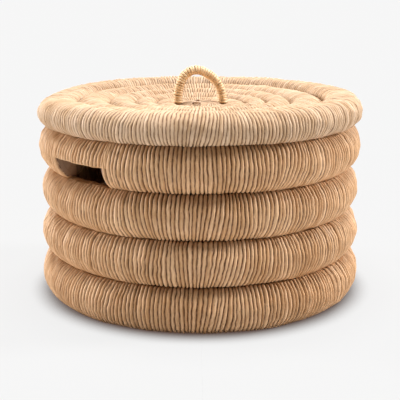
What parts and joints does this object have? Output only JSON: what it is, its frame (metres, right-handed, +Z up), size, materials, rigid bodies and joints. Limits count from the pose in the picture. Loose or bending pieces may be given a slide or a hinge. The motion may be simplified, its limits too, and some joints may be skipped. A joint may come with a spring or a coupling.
{
  "type": "lidded coil basket",
  "caption": "Round lidded storage basket built of thick cord-wrapped fibre coils, with two hand slots under the rim and a lift-off lid with a loop handle.",
  "frame": {"origin": "on the axis, at the level of the foot coil's underside", "axes": "+Z up along the basket's axis; the two hand slots face -X and +X"},
  "size_m": [0.402, 0.402, 0.2796],
  "materials": {
    "fibre_cord": "matte",
    "fibre_bundle": "matte",
    "lashing_cord": "matte",
    "bent_cane": "satin",
    "fine_cane": "satin"
  },
  "bodies": {
    "basket": {"foot_coil_core": "fibre_bundle", "foot_coil_wrap": "fibre_cord", "belly_coil_core": "fibre_bundle", "belly_coil_wrap": "fibre_cord", "shoulder_coil_core": "fibre_bundle", "shoulder_coil_wrap": "fibre_cord", "outer_floor_coil_core": "fibre_bundle", "outer_floor_coil_wrap": "fibre_cord", "middle_floor_coil_core": "fibre_bundle", "middle_floor_coil_wrap": "fibre_cord", "inner_floor_coil_core": "fibre_bundle", "inner_floor_coil_wrap": "fibre_cord", "floor_hub_core": "fibre_bundle", "floor_hub_wrap": "fibre_cord", "grip_core": "fibre_bundle", "filler_core_left": "fibre_bundle", "filler_core_right": "fibre_bundle", "top_coil_wrap": "fibre_cord", "foot_seam_stitches": "lashing_cord", "belly_seam_stitches": "lashing_cord", "shoulder_seam_stitches": "lashing_cord", "floor_edge_stitches": "lashing_cord", "outer_floor_stitches": "lashing_cord", "middle_floor_stitches": "lashing_cord", "floor_hub_stitches": "lashing_cord"},
    "lid": {"lid_rim_coil_core": "fibre_bundle", "lid_rim_coil_wrap": "fibre_cord", "second_lid_coil_core": "fibre_bundle", "second_lid_coil_wrap": "fibre_cord", "third_lid_coil_core": "fibre_bundle", "third_lid_coil_wrap": "fibre_cord", "fourth_lid_coil_core": "fibre_bundle", "fourth_lid_coil_wrap": "fibre_cord", "fifth_lid_coil_core": "fibre_bundle", "fifth_lid_coil_wrap": "fibre_cord", "lid_hub_core": "fibre_bundle", "lid_hub_wrap": "fibre_cord", "lid_rim_stitches": "lashing_cord", "second_lid_stitches": "lashing_cord", "third_lid_stitches": "lashing_cord", "fourth_lid_stitches": "lashing_cord", "handle_cane": "bent_cane", "handle_winding": "fine_cane", "left_handle_knot": "fine_cane", "right_handle_knot": "fine_cane"}
  },
  "joints": [
    {"name": "lid_lift", "type": "slide", "parent": "basket", "child": "lid", "axis": [0, 0, 1], "range_m": [0, 0.15]}
  ]
}
